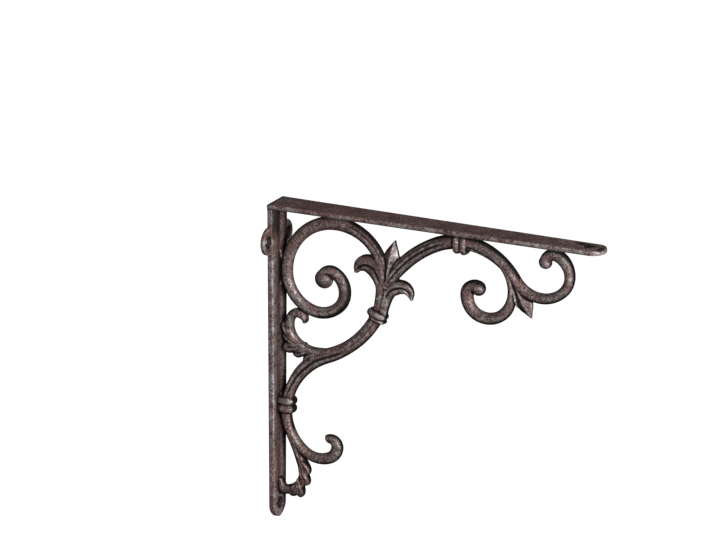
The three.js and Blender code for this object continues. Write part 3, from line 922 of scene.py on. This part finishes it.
streak = near(x_at, STREAK_X, 10) * near(y_at + STREAK_SLANT * (x_at - STREAK_X), 3.1, 2.8)
tip_patch = near(x_at, TIP_PATCH_X, 2.2) * near(y_at, -1.5, 7)
dirt_and_shade = spread(dirt_and_shade + arm_top * (spread(streak, 0.03, 0.25) + spread(tip_patch, 0.05, 0.4)), 0, 1)
print("nodes with the dirt:", len(tree.nodes))

# %% [markdown]
# ## Rubbed edges, and painted light on the plates and the flower
# Edges of the plates and the outer half of the arm's top are brighter where hands and cloths pass, and the wall
# plate's edge beside the near ear is darker but for one bright spot. Other pale marks are painted light: the
# sides of both plates, the near part of the foot, the face of the arm's tip, the stalk of the flower and one
# facet of its middle leaf are painted highlights.

# %% Lay the rubbed marks and the painted light
# On the wall plate's front: a pale line, a paler near part, and the near part of the foot painted light as less
# shaded.
rubbing_and_light = wall_front * (0.4 * near(y_at, 2.4, 2.6) + 0.45 * spread(y_at, -9, -4.5, 1, 0)
                        + 0.6 * foot * spread(y_at, 1, 3, 1, 0))
# The sides of both plates are painted paler as light falling on them, darker towards the wall plate's front edge.
rubbing_and_light = rubbing_and_light + wall_flank * spread(x_at, 3.3, 3.9, 0.42, -0.25) + 0.35 * arm_flank
# The face of the arm's tip is a painted highlight.
tip_face = above * spread(x_at, ARM_LENGTH - 1.6, ARM_LENGTH - 0.8)
rubbing_and_light = rubbing_and_light + 0.1 * arm_end * (1 - arm_top) + 0.8 * tip_face
rubbing_and_light = rubbing_and_light + 0.14 * arm_top * spread(x_at, 50, 120)
arm_corner = above * spread(arm_side, 10.0, 10.6) * spread(z_at, SHELF_PLANE - 1.3, SHELF_PLANE - 0.8)
rubbing_and_light = rubbing_and_light - 0.4 * arm_corner
# Painted highlights on the flower's stalk and on the right facet of its middle leaf.
stalk = spread(near(x_at, 81.4, 3.6) * near(z_at, -33, 13), 0, 0.4)
leaf_x = x_at - 0.1 * z_at
facet = spread(leaf_x, 85.6, 86.2) * spread(leaf_x, 91, 92, 1, 0) * near(z_at, -6, 15)
rubbing_and_light = rubbing_and_light + 0.6 * stalk + 0.45 * spread(facet, 0, 0.5)
by_the_ear = (wall_front + wall_flank) * beside_ear * spread(y_at, -9, -8, 1, 0)
rubbing_and_light = rubbing_and_light - 0.6 * by_the_ear + 1.6 * by_the_ear * near(z_at, -0.5, 4)
print("nodes with the rubbing:", len(tree.nodes))

# %% [markdown]
# ## Skin, wear, soot and painted shade together
# The colours go on in layers: clouds and patches of the skin first, then the rubbed metal and the painted
# highlights, the stains, and last the near black of the soot in pits and hollows and of the painted shade in
# holes, bands, walls and hollows. Rubbed iron is a little smoother, the sooty and shaded places are duller, and
# the grain and the ripples lift the surface by a few tenths of a millimetre.

# %% Mix the finish
crest_value, hollow_value, wall_shade_value, hole_shade_value, plate_value = (
    node("ShaderNodeAttribute", {"attribute_name": name}, {}, "Fac")
    for name in ("crest", "hollow", "side", "hole_shade", "plate"))
speckle = 0.28 * rubbed + 0.55 * spread(grain, 0.45, 0.68)
worn_and_lit_share = spread((crest_value + rubbing_and_light) * (0.3 + 0.9 * rubbed) + speckle - 0.36, 0.0, 0.85)
# Soot in the hollows, deepened as painted shade.
hollow_soot_and_shade = spread(hollow_value, 0.14, 0.7, 0.0, 0.95)
stains = plate_value * spread(noise(75, 4, 0.65, 6.4), 0.42, 0.62, 0.0, 0.5)
pits = spread(grain, 0.32, 0.5, 0.7, 0.0)

skin_colour = blend(spread(clouds + plate_value * (0.2 + 0.5 * above), 0, 1), BROWN, REDDISH)
# The side and hole_shade attributes, the plate marks and the hollows lay painted shade here, and the worn share
# lays painted highlights along with the wear.
for factor, colour in ((0.38 * patches * (1 - 0.8 * plate_value * above), GREYISH), (0.6 * worn_and_lit_share, WORN_AND_LIT),
                       (stains, DEEP), (pits, SOOT_AND_SHADE), (0.88 * hole_shade_value, SOOT_AND_SHADE), (0.88 * dirt_and_shade, SOOT_AND_SHADE),
                       (0.97 * wall_shade_value, SOOT_AND_SHADE), (hollow_soot_and_shade, SOOT_AND_SHADE)):
    skin_colour = blend(factor, skin_colour, colour)
roughness = (0.52 - 0.06 * worn_and_lit_share + 0.3 * hollow_soot_and_shade + 0.2 * wall_shade_value + 0.12 * plate_value + 0.2 * dirt_and_shade)
height = 0.8 * grain + 0.9 * ripple + 0.25 * fine_grain
bump = node("ShaderNodeBump", {}, {"Strength": 0.8, "Distance": 0.0004, "Height": height})

shader = tree.nodes["Principled BSDF"]
for socket, value in (("Base Color", skin_colour), ("Roughness", roughness), ("Normal", bump)):
    tree.links.new(value.socket, shader.inputs[socket])
shader.inputs["Metallic"].default_value = 0.5
shader.inputs["Specular IOR Level"].default_value = 0.2
casting.data.materials.clear()
casting.data.materials.append(iron)
print("finish nodes:", len(tree.nodes))

# %% [markdown]
# ## The bracket in its frame
# One casting stands for the CAD node, and rides on the only body.

# %% Hand the casting to the frame
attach(casting, "root")
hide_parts("bracket")
print("handed over:", casting.name)

# %% [markdown]
# ## A pale studio
# The bracket hangs in front of nothing, as a photograph with its background cut away shows it. The floor lies
# far below and glows by itself until it is white, and it is hidden from the iron, so it sends no light up to
# it. A broad soft light at the camera's right shows the carved side, and weaker ones from above and from behind
# keep the tops and the edges apart from the shadows.

# %% Floor and lights
FLOOR_LEVEL = -1.6
FLOOR_REACH = 30.0
WORLD_STRENGTH = 0.045
floor = new_object("floor", np.array([[-1, -1, 0], [1, -1, 0], [1, 1, 0], [-1, 1, 0]]) * FLOOR_REACH
                   + np.array([0, 0, FLOOR_LEVEL]), [[0, 1, 2, 3]])
pale = bpy.data.materials.new("pale_floor")
pale.use_nodes = True
pale_shader = pale.node_tree.nodes["Principled BSDF"]
pale_shader.inputs["Base Color"].default_value = (0.9, 0.9, 0.9, 1)
pale_shader.inputs["Roughness"].default_value = 0.9
pale_shader.inputs["Emission Color"].default_value = (1, 1, 1, 1)
pale_shader.inputs["Emission Strength"].default_value = 1.0
floor.data.materials.append(pale)
floor.visible_diffuse = floor.visible_glossy = False


def softbox(name, direction, distance, size, power):
    """A square area light at a distance in a direction from the bracket's middle, facing it."""
    light = bpy.data.lights.new(name, "AREA")
    light.size, light.energy = size, power
    lamp = bpy.data.objects.new(name, light)
    away = Vector(direction).normalized()
    lamp.matrix_world = (Matrix.Translation(PICTURE_CENTRE + away * distance)
                         @ away.to_track_quat("Z", "Y").to_matrix().to_4x4())
    bpy.context.scene.collection.objects.link(lamp)


softbox("key_light", (0.78, -0.62, 0.24), 2.2, 1.0, 98)
softbox("top_light", (0.1, -0.3, 1.0), 2.2, 1.2, 7)
softbox("back_light", (-0.6, 0.8, 0.5), 2.2, 1.2, 1.5)
world = bpy.data.worlds.new("studio")
bpy.context.scene.world = world
world.use_nodes = True
world.node_tree.nodes["Background"].inputs["Color"].default_value = (1, 1, 1, 1)
world.node_tree.nodes["Background"].inputs["Strength"].default_value = WORLD_STRENGTH
bpy.context.scene.view_settings.view_transform = "Standard"
